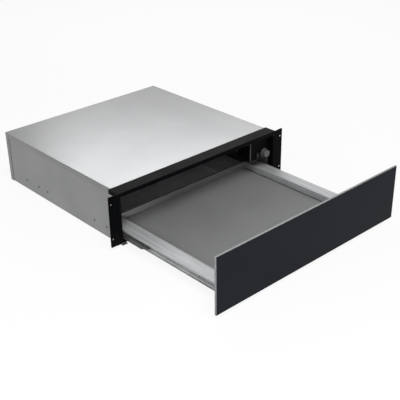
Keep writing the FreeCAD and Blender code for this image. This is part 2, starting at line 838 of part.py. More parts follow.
def door_switch_body():
    """Switch that cuts the heater when the drawer is open."""
    deep = contact_tail + contact_travel + latch_end
    body = block(contact_x - contact_half, contact_x + contact_half, baffle_back, baffle_back + deep,
                 plunger_level - contact_half, plunger_level + contact_half)
    body = body.makeChamfer(1.0, lines_along(body, along_y, lambda c: True))
    guide = rod(contact_x, baffle_back - 1, plunger_level, contact_radius + plunger_fit,
                deep - latch_end + 2, along_y)
    blades = blade_terminals(contact_x, baffle_back + deep, plunger_level, 2 * blade_width, 2)
    return body.cut(guide).fuse(blades)


def door_switch_plunger():
    """Plunger of the door switch, just behind the rear wall of the shut drawer."""
    return plunger(contact_x, contact_radius, tray_rear + travel + touch_gap, baffle_back + contact_tail)


def cable_gland():
    """Cable gland in the rear panel: hexagonal nut inside, barrel flush with the outside."""
    barrel = rod(gland_x, housing_depth - gland_length, gland_level, gland_radius, gland_length, along_y)
    start = rear_inner - gland_nut_depth
    corners = []
    for index in range(7):
        turn = math.pi * index / 3
        x = gland_x + gland_nut * math.cos(turn)
        corners.append(Vector(x, start, gland_level + gland_nut * math.sin(turn)))
    nut = Part.Face(Part.makePolygon(corners)).extrude(along_y * gland_nut_depth)
    bore = rod(gland_x, housing_depth - gland_length - 1, gland_level, gland_bore, gland_length + 2, along_y)
    return barrel.fuse(nut).cut(bore)


def terminal_block():
    """Three-way terminal block on the floor pan."""
    rear = rear_inner - terminal_setback
    body = block(gland_x - terminal_width / 2, gland_x + terminal_width / 2, rear - terminal_depth, rear,
                 floor_top, floor_top + terminal_height)
    cutters = []
    pitch = terminal_width / terminal_ways
    for index in range(terminal_ways):
        x = gland_x + (index - (terminal_ways - 1) / 2) * pitch
        cutters.append(rod(x, rear - terminal_depth - 1, floor_top + terminal_height / 2, 2.5, 9.0, along_y))
        cutters.append(rod(x, rear - terminal_depth / 2, floor_top + terminal_height - 2, 2.8, 3.0, along_z))
    for index in range(terminal_ways - 1):
        x = gland_x + (index - (terminal_ways - 2) / 2) * pitch
        cutters.append(block(x - 1, x + 1, rear - terminal_depth - 1, rear + 1,
                             floor_top + terminal_height - 4, floor_top + terminal_height + 1))
    return body.cut(cutters)


def across_runner(a, b):
    """Section point of a runner: a is the distance in from the side sheet, b the height in the runner."""
    return Vector(inside - a, 0, runner_level + b)


outer_cage_web = runner_sheet + cage_gap
middle_web = outer_cage_web + cage_sheet + cage_gap
ball_line = runner_height / 2 - runner_sheet - ball_fit - ball_radius
middle_half = ball_line - ball_radius - ball_fit
inner_ball_line = middle_half - runner_sheet - ball_fit - ball_radius
drawer_half = inner_ball_line - ball_radius - ball_fit
inner_cage_web = middle_web + runner_sheet + cage_gap
drawer_tips = inner_cage_web + cage_sheet + cage_gap


def channel(web, tips, half_height, thickness, lip, start, length):
    """Runner channel: web at one distance from the side sheet, flanges towards another, lips if wanted."""
    points = [(tips, -half_height), (web, -half_height), (web, half_height), (tips, half_height)]
    if lip:
        points = [(tips, lip - half_height)] + points + [(tips, half_height - lip)]
    if web > tips:
        points = points[::-1]
    bar = folded(points, thickness, runner_bend, across_runner, along_y * length)
    bar.translate(along_y * start)
    return bar


def cabinet_runner(side):
    """Fixed runner member, drilled for its rivets."""
    bar = channel(0, runner_flange, runner_height / 2, runner_sheet, runner_lip, cabinet_start, cabinet_length)
    for y in rivet_places:
        bar = bar.cut(rod(inside - 2 * runner_sheet, y, rivet_level, rivet_radius + rivet_fit,
                          3 * runner_sheet, along_x))
    return mirrored(bar, side)


def middle_runner(side):
    """Middle runner member with a slanted front end, which moves half as far as the drawer."""
    bar = channel(middle_web, middle_web + middle_flange, middle_half, runner_sheet, 0,
                  middle_start, middle_length)
    low = runner_level - middle_half
    corners = [(middle_start, low), (middle_start, low + 2 * middle_half), (middle_start + middle_taper, low)]
    outline = [Vector(0, y, z) for y, z in corners + corners[:1]]
    wedge = Part.Face(Part.makePolygon(outline)).extrude(along_x * half)
    return mirrored(bar.cut(wedge), side)


def drawer_runner(side):
    """Runner member on the angle under the tray."""
    start = panel_back + drawer_member_start
    bar = channel(runner_thickness, drawer_tips, drawer_half, runner_sheet, 0, start, drawer_member_length)
    return mirrored(bar, side)


def runner_angle(side):
    """Angle under the tray's flange that the drawer's runner member is welded to."""
    points = [
        (tray_half - tray_flange, tray_skirt),
        (angle_web, tray_skirt),
        (angle_web, tray_skirt - angle_drop),
    ]
    angle = folded(points, angle_sheet, bend, across_y, along_y * drawer_member_length)
    angle.translate(along_y * (panel_back + drawer_member_start))
    return mirrored(angle, side)


def ball_cage(side, web, line, start):
    """Ball cage: a thin channel with balls held in both flanges."""
    bar = channel(web, web + cage_flange, line + cage_sheet / 2, cage_sheet, 0, start, cage_length)
    balls = []
    for index in range(cage_balls):
        y = start + cage_length * (index + 0.5) / cage_balls
        for height in (-line, line):
            place = Vector(inside - web - cage_flange / 2 - cage_sheet / 2, y, runner_level + height)
            balls.append(Part.makeSphere(ball_radius, place))
    return mirrored(bar.fuse(balls), side)


def outer_cage(side):
    """Balls between the fixed and the middle member."""
    return ball_cage(side, outer_cage_web, ball_line, outer_cage_start)


def inner_cage(side):
    """Balls between the middle member and the drawer's member."""
    return ball_cage(side, inner_cage_web, inner_ball_line, inner_cage_start)


def runner_rivets():
    """Rivets through the side sheets and the fixed runner members."""
    rivets = []
    length = sheet + runner_sheet
    for side in (-1, 1):
        for y in rivet_places:
            shank = rod(half - length, y, rivet_level, rivet_radius, length, along_x)
            head = rod(half, y, rivet_level, rivet_head, rivet_head_height, along_x)
            rivets.append(mirrored(shank.fuse(head), side))
    return Part.makeCompound(rivets)


def drawer_tray():
    """Tray: flat side edges with flanged skirts, a well with end walls, a folded rear lip and rolled hems."""
    points = [
        (tray_flange - tray_half, tray_skirt),
        (-tray_half, tray_skirt),
        (-tray_half, tray_top),
        (-well_half, tray_top),
        (-well_half, tray_floor),
        (well_half, tray_floor),
        (well_half, tray_top),
        (tray_half, tray_top),
        (tray_half, tray_skirt),
        (tray_half - tray_flange, tray_skirt),
    ]
    tray = folded(points, tray_sheet, bend, across_y, along_y * tray_depth)
    tray.translate(along_y * panel_back)
    low = tray_floor - tray_sheet
    front = block(-well_half, well_half, panel_back, panel_back + tray_sheet, low, tray_top)
    rear_points = [(tray_rear - tray_sheet, low), (tray_rear - tray_sheet, tray_top),
                   (tray_rear + tray_lip, tray_top)]
    rear = folded(rear_points, tray_sheet, bend, across_x, along_x * (2 * well_half))
    rear.translate(along_x * -well_half)
    tray = tray.fuse([front, rear])
    for side in (-1, 1):
        hem = rod(side * (well_half + hem_radius), panel_back, tray_top, hem_radius, tray_depth, along_y)
        tray = tray.fuse(hem.cut(block(-tray_half, tray_half, panel_back - 1, tray_rear + 1,
                                       tray_skirt, tray_top - tray_sheet / 2)))
    return tray


def non_slip_mat():
    """Mat on the tray's floor."""
    reach = well_half - mat_margin
    mat = block(-reach, reach, panel_back + tray_sheet + mat_margin, tray_rear - tray_sheet - mat_margin,
                tray_floor, tray_floor + mat_thickness)
    return mat.makeFillet(mat_corner, lines_along(mat, along_z, lambda c: True))


def front_glass():
    """Front pane with bevelled edges."""
    reach = panel_width / 2
    pane = block(-reach, reach, glass_front, glass_front + glass_thickness,
                 panel_bottom, panel_bottom + panel_height)
    edges = [edge for edge in pane.Edges if edge.CenterOfMass.y < glass_front + 0.01]
    return pane.makeChamfer(glass_bevel, edges)


def front_carrier():
    """Steel carrier behind the pane, folded back round its edges."""
    reach = panel_width / 2 - carrier_inset
    low = panel_bottom + carrier_inset
    high = panel_bottom + panel_height - carrier_inset
    start = glass_front + glass_thickness
    carrier = block(-reach, reach, start, panel_back, low, high)
    rim = [edge for edge in carrier.Edges if edge.CenterOfMass.y > panel_back - 0.01]
    carrier = carrier.makeFillet(carrier_round, rim)
    hollow = block(carrier_wall - reach, reach - carrier_wall, start - 1, panel_back - carrier_wall,
                   low + carrier_wall, high - carrier_wall)
    return carrier.cut(hollow)


def panel_bracket(side):
    """Angle bracket on the inner side of the runner's angle that carries the front."""
    reach = angle_web - angle_sheet
    points = [
        (reach, panel_back + bracket_depth),
        (reach, panel_back),
        (well_half + tray_sheet + bracket_sheet, panel_back),
    ]
    height = tray_skirt - angle_sheet - bracket_clearance - bracket_bottom
    bracket = folded(points, bracket_sheet, bend, across_z, along_z * height)
    bracket.translate(along_z * bracket_bottom)
    return mirrored(bracket, side)


def latch_striker():
    """Striker on the tray's rear wall for the push latch."""
    plate = block(latch_x - striker_half, latch_x + striker_half, tray_rear, tray_rear + striker_sheet,
                  striker_low, striker_high)
    return plate.makeFillet(2.0, lines_along(plate, along_y, lambda c: True))


def panel_bumpers():
    """Rubber stops on the back of the front."""
    stops = []
    for side in (-1, 1):
        for z in (bumper_low, bumper_low + bumper_spacing):
            stops.append(rod(side * bumper_x, panel_back, z, bumper_radius, closed_gap - touch_gap, along_y))
    return Part.makeCompound(stops)


nodes = {
    "left_side_panel": side_panel(-1),
    "right_side_panel": side_panel(1),
    "base_pan": base_pan(),
    "rear_panel": rear_panel(),
    "top_cover": top_cover(),
    "top_front_rail": top_front_rail(),
    "left_mounting_flange": mounting_flange(-1),
    "right_mounting_flange": mounting_flange(1),
    "bottom_front_rail": bottom_front_rail(),
    "rear_baffle": rear_baffle(),
    "motor_bracket": motor_bracket(),
    "heating_element": heating_element(),
    "element_clips": element_clips(),
    "fan_stator": fan_stator(),
    "motor_shaft": motor_shaft(),
    "fan_impeller": fan_impeller(),
    "thermal_cutout": thermal_cutout(),
    "control_pod": control_pod(),
    "thermostat_body": thermostat_body(),
    "thermostat_shaft": thermostat_shaft(),
    "control_knob": control_knob(),
    "switch_body": switch_body(),
    "power_rocker": power_rocker(),
    "latch_body": latch_body(),
    "latch_plunger": latch_plunger(),
    "door_switch_body": door_switch_body(),
    "door_switch_plunger": door_switch_plunger(),
    "cable_gland": cable_gland(),
    "terminal_block": terminal_block(),
    "left_cabinet_runner": cabinet_runner(-1),
    "right_cabinet_runner": cabinet_runner(1),
    "runner_rivets": runner_rivets(),
    "left_outer_cage": outer_cage(-1),
    "right_outer_cage": outer_cage(1),
    "left_middle_runner": middle_runner(-1),
    "right_middle_runner": middle_runner(1),
    "left_inner_cage": inner_cage(-1),
    "right_inner_cage": inner_cage(1),
    "left_drawer_runner": drawer_runner(-1),
    "right_drawer_runner": drawer_runner(1),
    "left_runner_angle": runner_angle(-1),
    "right_runner_angle": runner_angle(1),
    "drawer_tray": drawer_tray(),
    "non_slip_mat": non_slip_mat(),
    "front_glass": front_glass(),
    "front_carrier": front_carrier(),
    "left_panel_bracket": panel_bracket(-1),
    "right_panel_bracket": panel_bracket(1),
    "latch_striker": latch_striker(),
    "panel_bumpers": panel_bumpers(),
}

os.makedirs("parts", exist_ok=True)
for name, shape in nodes.items():
    placed = shape.copy()
    placed.translate(along_y * -origin_y)
    placed.exportStep("parts/" + name + ".step")
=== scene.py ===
import json
import math
import bmesh
import bpy
from mathutils import Matrix, Vector


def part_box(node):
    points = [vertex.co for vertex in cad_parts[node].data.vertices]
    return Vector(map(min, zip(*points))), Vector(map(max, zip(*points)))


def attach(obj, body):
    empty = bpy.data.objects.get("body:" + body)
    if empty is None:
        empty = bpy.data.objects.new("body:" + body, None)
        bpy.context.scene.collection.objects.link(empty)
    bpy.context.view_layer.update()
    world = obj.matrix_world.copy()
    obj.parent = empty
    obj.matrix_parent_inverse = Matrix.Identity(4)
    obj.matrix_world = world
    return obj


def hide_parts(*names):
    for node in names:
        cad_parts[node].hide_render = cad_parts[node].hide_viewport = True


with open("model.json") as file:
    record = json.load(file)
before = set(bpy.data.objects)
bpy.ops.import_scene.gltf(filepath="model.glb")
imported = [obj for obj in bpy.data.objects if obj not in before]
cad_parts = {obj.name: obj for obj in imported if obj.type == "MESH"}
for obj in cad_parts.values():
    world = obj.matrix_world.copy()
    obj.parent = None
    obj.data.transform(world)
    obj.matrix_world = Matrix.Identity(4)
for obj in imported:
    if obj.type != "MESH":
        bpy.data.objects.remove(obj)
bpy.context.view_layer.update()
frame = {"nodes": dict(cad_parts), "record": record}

nodes = frame["nodes"]
scene = bpy.context.scene


# camera
cameraSet = {
    "place": (-1.225, -1.410, 0.988),
    "turn": 42.17,      # degrees from straight ahead to the right
    "tilt": 27.85,      # degrees down
    "roll": -0.92,
    "lens": 73.2,
    "sensor": 36.0,
    "near": 0.05,
    "far": 50.0,
}


def makeCamera(look):
    data = bpy.data.cameras.new("camera")
    data.sensor_width = look["sensor"]
    data.sensor_fit = "HORIZONTAL"
    data.lens = look["lens"]
    data.clip_start = look["near"]
    data.clip_end = look["far"]
    turn, tilt, roll = (math.radians(look[key]) for key in ("turn", "tilt", "roll"))
    ahead = Vector((math.sin(turn) * math.cos(tilt), math.cos(turn) * math.cos(tilt), -math.sin(tilt)))
    right = Vector((math.cos(turn), -math.sin(turn), 0))
    above = right.cross(ahead)
    side = right * math.cos(roll) + above * math.sin(roll)
    top = above * math.cos(roll) - right * math.sin(roll)
    placed = Matrix((side, top, -ahead)).transposed().to_4x4()
    placed.translation = look["place"]
    camera = bpy.data.objects.new("camera", data)
    camera.matrix_world = placed
    scene.collection.objects.link(camera)
    scene.camera = camera


makeCamera(cameraSet)
print("camera placed")


# every mesh made here ends this way
def meshObject(bm, name, materials):
    mesh = bpy.data.meshes.new(name)
    bm.to_mesh(mesh)
    bm.free()
    for material in materials:
        mesh.materials.append(material)
    made = bpy.data.objects.new(name, mesh)
    scene.collection.objects.link(made)
    return made


# shader helpers: a value is either a socket to link or a plain number or colour
def feed(tree, target, value):
    if isinstance(value, bpy.types.NodeSocket):
        tree.links.new(value, target)
    else:
        target.default_value = value


def blend(tree, kind, factor, first, second):
    mix = tree.nodes.new("ShaderNodeMix")
    mix.data_type = kind
    feed(tree, mix.inputs["Factor"], factor)
    feed(tree, mix.inputs["A"], first)
    feed(tree, mix.inputs["B"], second)
    return mix.outputs["Result"]


def calculate(tree, operation, *values):
    step = tree.nodes.new("ShaderNodeMath")
    step.operation = operation
    for target, value in zip(step.inputs, values):
        feed(tree, target, value)
    return step.outputs[0]


# studio: pale floor, soft lamps, light world
studioSet = {
    "floorSize": 9.0,
    "floorTone": (0.82, 0.82, 0.82, 1),
    "floorRough": 0.9,
    "floorLift": 0.88,      # how far the floor goes to white where the camera sees it
    "worldStrength": 0.35,
    "white": (1, 1, 1, 1),
    "lamps": [
        # name, place, aim, width, height, watts
        ("frontLamp", (-1.6, -1.2, 2.3), (0.0, -0.1, 0.05), 1.0, 0.8, 10),
        ("topLamp", (-0.2, -0.95, 2.3), (0.0, -0.1, 0.0), 1.2, 1.2, 26),
        ("fillLamp", (-1.1, -2.3, 0.5), (0.0, 0.15, 0.06), 0.6, 0.25, 26),
        ("sideLamp", (-2.3, -0.7, 1.2), (0.0, -0.2, 0.05), 2.0, 1.1, 17),
        ("backLamp", (1.50, 1.5, 1.33), (0.0, -0.1, 0.1), 1.8, 0.22, 12.6),
    ],
}


def seenLevel(tree, plain, seen):
    # one level for the light that falls on things, another for what the camera and mirrors see
    paths = tree.nodes.new("ShaderNodeLightPath")
    direct = paths.outputs["Is Camera Ray"]
    for kind in ("Is Glossy Ray", "Is Transmission Ray"):
        direct = calculate(tree, "MAXIMUM", direct, paths.outputs[kind])
    return blend(tree, "FLOAT", direct, plain, seen)


def makeWorld(look):
    world = bpy.data.worlds.new("studio")
    scene.world = world
    world.use_nodes = True
    tree = world.node_tree
    sky = tree.nodes["Background"]
    sky.inputs["Color"].default_value = look["white"]
    feed(tree, sky.inputs["Strength"], seenLevel(tree, look["worldStrength"], 1.0))


def makeFloor(look):
    paint = bpy.data.materials.new("floorPaint")
    paint.use_nodes = True
    tree = paint.node_tree
    base = tree.nodes["Principled BSDF"]
    base.inputs["Base Color"].default_value = look["floorTone"]
    base.inputs["Roughness"].default_value = look["floorRough"]
    glow = tree.nodes.new("ShaderNodeEmission")
    glow.inputs["Color"].default_value = look["white"]
    mix = tree.nodes.new("ShaderNodeMixShader")
    feed(tree, mix.inputs["Fac"], seenLevel(tree, 0.0, look["floorLift"]))
    tree.links.new(base.outputs[0], mix.inputs[1])
    tree.links.new(glow.outputs[0], mix.inputs[2])
    tree.links.new(mix.outputs[0], tree.nodes["Material Output"].inputs["Surface"])
    bm = bmesh.new()
    bmesh.ops.create_grid(bm, x_segments=1, y_segments=1, size=look["floorSize"])
    floor = meshObject(bm, "floor", (paint,))


def makeLamps(look):
    for name, place, aim, width, height, watts in look["lamps"]:
        data = bpy.data.lights.new(name, "AREA")
        data.shape = "RECTANGLE"
        data.size = width
        data.size_y = height
        data.energy = watts
        lamp = bpy.data.objects.new(name, data)
        lamp.location = place
        lamp.rotation_euler = (Vector(aim) - Vector(place)).to_track_quat("-Z", "Y").to_euler()
        scene.collection.objects.link(lamp)


makeWorld(studioSet)
makeFloor(studioSet)
makeLamps(studioSet)
scene.view_settings.view_transform = "Standard"
print("studio ready")


# finishes
def startFinish(name):
    finish = bpy.data.materials.new(name)
    finish.use_nodes = True
    tree = finish.node_tree
    return finish, tree, tree.nodes["Principled BSDF"]


def objectPlace(tree, stretch=(1, 1, 1)):
    place = tree.nodes.new("ShaderNodeTexCoord")
    mapping = tree.nodes.new("ShaderNodeMapping")
    mapping.inputs["Scale"].default_value = stretch
    tree.links.new(place.outputs["Object"], mapping.inputs["Vector"])
    return mapping.outputs["Vector"]


def noise(tree, where, scale, detail=4, roughness=0.55):
    texture = tree.nodes.new("ShaderNodeTexNoise")
    texture.inputs["Scale"].default_value = scale
    texture.inputs["Detail"].default_value = detail
    texture.inputs["Roughness"].default_value = roughness
    tree.links.new(where, texture.inputs["Vector"])
    return texture.outputs["Fac"]


def ramp(tree, factor, low, high, first=0.0, last=1.0):
    spread = tree.nodes.new("ShaderNodeMapRange")
    spread.inputs["From Min"].default_value = low
    spread.inputs["From Max"].default_value = high
    spread.inputs["To Min"].default_value = first
    spread.inputs["To Max"].default_value = last
    tree.links.new(factor, spread.inputs["Value"])
    return spread.outputs["Result"]


def tone(tree, factor, look):
    return blend(tree, "RGBA", factor, (*look["dark"], 1), (*look["light"], 1))


def bump(tree, height, strength, distance, under=None):
    relief = tree.nodes.new("ShaderNodeBump")
    relief.inputs["Strength"].default_value = strength
    relief.inputs["Distance"].default_value = distance
    tree.links.new(height, relief.inputs["Height"])
    if under is not None:
        tree.links.new(under, relief.inputs["Normal"])
    return relief.outputs["Normal"]


# what all finishes of a kind share; a spread is the part of a noise that a change of tone takes up
sheetShared = {
    "cloudSpread": (0.3, 0.7), "streakSpread": (0.32, 0.68), "lineSpread": (0.25, 0.75),
    "waveScale": 7, "waveDepth": 0.002, "lineDepth": 0.0002,
}
dustShared = {"coatSpread": (0.35, 0.75), "matSpread": (0.3, 0.7), "roughSpread": (0.3, 0.7)}


def drawnStreaks(tree, mottled, look):
    # long streaks along the tray, left by the press
    drawn = noise(tree, objectPlace(tree, look["streaks"]), look["streakScale"], detail=3, roughness=0.6)
    streaks = ramp(tree, drawn, *sheetShared["streakSpread"])
    return blend(tree, "FLOAT", look["streakShare"], mottled, streaks)


def paintedMouthShade(tree, colour, cloud, look):
    # painted shade: the tray's rear end, inside the housing mouth, is painted a little darker
    depth = tree.nodes.new("ShaderNodeSeparateXYZ")
    tree.links.new(objectPlace(tree), depth.inputs["Vector"])
    uneven = calculate(tree, "MULTIPLY_ADD", cloud, look["shadeTintUneven"], depth.outputs["Y"])
    share = ramp(tree, uneven, *look["shadeTintReach"])
    return blend(tree, "RGBA", share, colour, (*look["shadeTint"], 1))


def sheetFinish(name, look):
    # rolled sheet: soft clouding, fine rolling lines and a little waviness, and for the tray painted shade
    # towards its rear end
    finish, tree, base = startFinish(name)
    cloud = noise(tree, objectPlace(tree), look["cloudScale"], detail=5)
    lines = noise(tree, objectPlace(tree, look["grain"]), look["grainScale"], detail=3, roughness=0.7)
    wave = noise(tree, objectPlace(tree), sheetShared["waveScale"], detail=2)
    mottled = ramp(tree, cloud, *sheetShared["cloudSpread"])
    if "streaks" in look:
        mottled = drawnStreaks(tree, mottled, look)
    colour = tone(tree, mottled, look)
    # painted shade: darker towards the tray's rear end, inside the housing mouth
    if "shadeTint" in look:
        colour = paintedMouthShade(tree, colour, cloud, look)
    feed(tree, base.inputs["Base Color"], colour)
    roughness = ramp(tree, lines, *sheetShared["lineSpread"], look["smooth"], look["rough"])
    feed(tree, base.inputs["Roughness"], roughness)
    feed(tree, base.inputs["Metallic"], look["metallic"])
    relief = bump(tree, wave, look["wave"], sheetShared["waveDepth"])
    relief = bump(tree, lines, look["lineBump"], sheetShared["lineDepth"], relief)
    feed(tree, base.inputs["Normal"], relief)
    return finish


def dustTones(tree, base, where, spread, look):
    # faint dust: lighter and rougher where it has settled
    dust = noise(tree, where, look["dustScale"])
    feed(tree, base.inputs["Base Color"], tone(tree, ramp(tree, dust, *spread), look))
    roughness = ramp(tree, dust, *dustShared["roughSpread"], look["smooth"], look["rough"])
    feed(tree, base.inputs["Roughness"], roughness)


def coatFinish(name, look):
    # powder coat, moulded plastic and rubber: fine peel under faint dust
    finish, tree, base = startFinish(name)
    peel = noise(tree, objectPlace(tree), look["peelScale"], detail=3, roughness=0.6)
    dustTones(tree, base, objectPlace(tree), dustShared["coatSpread"], look)
    feed(tree, base.inputs["Metallic"], look.get("metallic", 0.0))
    feed(tree, base.inputs["Specular IOR Level"], look.get("shine", 0.5))
    feed(tree, base.inputs["Normal"], bump(tree, peel, look["peel"], look["peelDepth"]))
    return finish


def dottedFinish(name, look):
    # moulded mat: small raised dots over rubber
    finish, tree, base = startFinish(name)
    where = objectPlace(tree)
    cells = tree.nodes.new("ShaderNodeTexVoronoi")
    cells.inputs["Scale"].default_value = look["cells"]
    cells.inputs["Randomness"].default_value = look["scatter"]
    tree.links.new(where, cells.inputs["Vector"])
    dots = ramp(tree, cells.outputs["Distance"], *look["dotSpread"], 1.0, 0.0)
    dustTones(tree, base, where, dustShared["matSpread"], look)
    feed(tree, base.inputs["Specular IOR Level"], look["shine"])
    feed(tree, base.inputs["Sheen Weight"], look["sheen"])
    feed(tree, base.inputs["Normal"], bump(tree, dots, look["relief"], look["reliefDepth"]))
    return finish


sheetLooks = {
    "housingSheet": {
        "dark": (0.215, 0.217, 0.220), "light": (0.252, 0.254, 0.257), "metallic": 0.8,
        "smooth": 0.36, "rough": 0.46, "cloudScale": 9, "grain": (1, 14, 14), "grainScale": 60,
        "wave": 0.06, "lineBump": 0.12,
    },
    "coverSheet": {
        "dark": (0.190, 0.192, 0.195), "light": (0.212, 0.214, 0.217), "metallic": 0.85,
        "smooth": 0.278, "rough": 0.298, "cloudScale": 8, "grain": (1, 14, 14), "grainScale": 60,
        "wave": 0.04, "lineBump": 0.01,
    },
    "zincSheet": {
        "dark": (0.60, 0.61, 0.63), "light": (0.68, 0.69, 0.71), "metallic": 0.05,
        "smooth": 0.40, "rough": 0.52, "cloudScale": 40, "grain": (3, 3, 3), "grainScale": 50,
        "wave": 0.05, "lineBump": 0.10,
    },
    "traySheet": {
        "dark": (0.31, 0.315, 0.32), "light": (0.45, 0.455, 0.46), "metallic": 0.42,
        "smooth": 0.52, "rough": 0.64, "cloudScale": 11, "grain": (14, 1, 14), "grainScale": 60,
        "wave": 0.05, "lineBump": 0.12, "streaks": (3, 0.12, 3), "streakScale": 50, "streakShare": 0.75,
        # painted shade: the tone the tray's rear end darkens to, and where in depth it does so
        "shadeTint": (0.225, 0.225, 0.23), "shadeTintReach": (-0.045, 0.0), "shadeTintUneven": 0.012,
    },
    "carrierMetal": {
        "dark": (0.52, 0.53, 0.54), "light": (0.60, 0.61, 0.62), "metallic": 0.8,
        "smooth": 0.30, "rough": 0.42, "cloudScale": 14, "grain": (1, 20, 20), "grainScale": 60,
        "wave": 0.03, "lineBump": 0.15,
    },
    "runnerDark": {
        "dark": (0.030, 0.031, 0.033), "light": (0.050, 0.051, 0.053), "metallic": 0.2,
        "smooth": 0.40, "rough": 0.55, "cloudScale": 30, "grain": (14, 1, 14), "grainScale": 80,
        "wave": 0.03, "lineBump": 0.12,
    },
    "runnerZinc": {
        "dark": (0.44, 0.445, 0.45), "light": (0.54, 0.545, 0.55), "metallic": 0.4,
        "smooth": 0.38, "rough": 0.52, "cloudScale": 30, "grain": (14, 1, 14), "grainScale": 80,
        "wave": 0.03, "lineBump": 0.15,
    },
    "plainSteel": {
        "dark": (0.42, 0.42, 0.43), "light": (0.55, 0.55, 0.56), "metallic": 0.9,
        "smooth": 0.28, "rough": 0.45, "cloudScale": 60, "grain": (20, 1, 20), "grainScale": 80,
        "wave": 0.03, "lineBump": 0.2,
    },
    "darkSteel": {
        "dark": (0.10, 0.09, 0.085), "light": (0.20, 0.18, 0.165), "metallic": 0.8,
        "smooth": 0.40, "rough": 0.60, "cloudScale": 45, "grain": (3, 3, 3), "grainScale": 90,
        "wave": 0.03, "lineBump": 0.2,
    },
    "fanAluminium": {
        "dark": (0.66, 0.67, 0.68), "light": (0.76, 0.77, 0.78), "metallic": 0.9,
        "smooth": 0.30, "rough": 0.45, "cloudScale": 50, "grain": (5, 5, 5), "grainScale": 90,
        "wave": 0.03, "lineBump": 0.2,
    },
}
coatLooks = {
    "frameBlack": {
        "dark": (0.0016, 0.0018, 0.0022), "light": (0.0030, 0.0032, 0.0036), "smooth": 0.42, "rough": 0.55,
        "peelScale": 900, "dustScale": 18, "peel": 0.25, "peelDepth": 0.0002, "shine": 0.022,
    },
    "podBlack": {
        "dark": (0.0020, 0.0022, 0.0027), "light": (0.0035, 0.0037, 0.0042), "smooth": 0.50, "rough": 0.62,
        "peelScale": 1400, "dustScale": 25, "peel": 0.2, "peelDepth": 0.0001, "shine": 0.03,
    },
    # painted highlight on the pod's rounded front edges
    "podEdgeHighlight": {
        "dark": (0.075, 0.076, 0.080), "light": (0.105, 0.106, 0.110), "smooth": 0.30, "rough": 0.42,
        "peelScale": 1400, "dustScale": 120, "peel": 0.1, "peelDepth": 0.0001, "shine": 0.5,
    },
    "knobGrey": {
        "dark": (0.060, 0.060, 0.064), "light": (0.080, 0.080, 0.084), "smooth": 0.34, "rough": 0.46,
        "peelScale": 1500, "dustScale": 80, "peel": 0.15, "peelDepth": 0.0001, "shine": 0.5,
    },
    "rockerGrey": {
        "dark": (0.009, 0.009, 0.010), "light": (0.014, 0.014, 0.015), "smooth": 0.34, "rough": 0.44,
        "peelScale": 1500, "dustScale": 90, "peel": 0.1, "peelDepth": 0.0001, "shine": 0.2,
    },
    "paneDark": {
        "dark": (0.0085, 0.0100, 0.0130), "light": (0.0110, 0.0125, 0.0155), "smooth": 0.30, "rough": 0.38,
        "peelScale": 1200, "dustScale": 6, "peel": 0.05, "peelDepth": 0.00005, "shine": 0.035,
    },
    "groundEdge": {
        "dark": (0.16, 0.165, 0.17), "light": (0.22, 0.225, 0.23), "smooth": 0.35, "rough": 0.5,
        "peelScale": 1800, "dustScale": 60, "peel": 0.2, "peelDepth": 0.0001, "shine": 0.4,
    },
    "darkMoulding": {
        "dark": (0.020, 0.020, 0.020), "light": (0.030, 0.030, 0.030), "smooth": 0.45, "rough": 0.60,
        "peelScale": 1200, "dustScale": 60, "peel": 0.2, "peelDepth": 0.0001, "shine": 0.4,
    },
    "whiteMoulding": {
        "dark": (0.62, 0.61, 0.57), "light": (0.70, 0.69, 0.66), "smooth": 0.35, "rough": 0.50,
        "peelScale": 1200, "dustScale": 90, "peel": 0.15, "peelDepth": 0.0001, "shine": 0.5,
    },
    # painted shade along each side of the mat, next to the tray's walls
    "matShadeBorder": {
        "dark": (0.052, 0.053, 0.054), "light": (0.068, 0.069, 0.070), "smooth": 0.6, "rough": 0.75,
        "peelScale": 1200, "dustScale": 40, "peel": 0.2, "peelDepth": 0.0001, "shine": 0.3,
    },
    "bumperRubber": {
        "dark": (0.016, 0.016, 0.016), "light": (0.024, 0.024, 0.024), "smooth": 0.6, "rough": 0.8,
        "peelScale": 1500, "dustScale": 90, "peel": 0.2, "peelDepth": 0.0001, "shine": 0.3,
    },
    "rivetDark": {
        "dark": (0.020, 0.020, 0.022), "light": (0.034, 0.034, 0.036), "smooth": 0.35, "rough": 0.5,
        "peelScale": 2000, "dustScale": 200, "peel": 0.1, "peelDepth": 0.0001, "metallic": 0.6,
    },
}
matLook = {
    "dark": (0.142, 0.144, 0.145), "light": (0.168, 0.170, 0.171), "smooth": 0.62, "rough": 0.78,
    "cells": 420, "scatter": 0.25, "dotSpread": (0.15, 0.5), "relief": 0.5, "reliefDepth": 0.0006,
    "dustScale": 9, "shine": 0.35, "sheen": 0.15,
}
finishes = {name: sheetFinish(name, look) for name, look in sheetLooks.items()}
finishes.update({name: coatFinish(name, look) for name, look in coatLooks.items()})
finishes["matRubber"] = dottedFinish("matRubber", matLook)
print("finishes mixed")

slotFinishes = {
    "housing_sheet": "housingSheet", "frame_black": "frameBlack", "element_sheath": "darkSteel",
    "clip_steel": "plainSteel", "stator_steel": "darkSteel", "fan_aluminium": "fanAluminium",
    "pod_plastic": "podBlack", "thermostat_metal": "plainSteel", "knob_plastic": "knobGrey",
    "rocker_plastic": "rockerGrey", "latch_plastic": "darkMoulding", "plunger_plastic": "whiteMoulding",
    "runner_black": "runnerDark", "runner_zinc": "runnerZinc", "cage_steel": "plainSteel",
    "rivet_dark": "rivetDark", "tray_sheet": "traySheet", "mat_rubber": "matRubber",
    "front_pane": "paneDark", "carrier_metal": "carrierMetal", "bracket_black": "frameBlack",
    "bumper_rubber": "bumperRubber",
}
ownFinishes = {
    "top_cover": "coverSheet", "rear_panel": "coverSheet",
    "base_pan": "zincSheet", "rear_baffle": "zincSheet",
}
for part in frame["record"]["subparts"]:
    finishName = ownFinishes.get(part["node"], slotFinishes[part["material_slot"]])
    materials = nodes[part["node"]].data.materials
    materials.clear()
    materials.append(finishes[finishName])
print("parts finished")


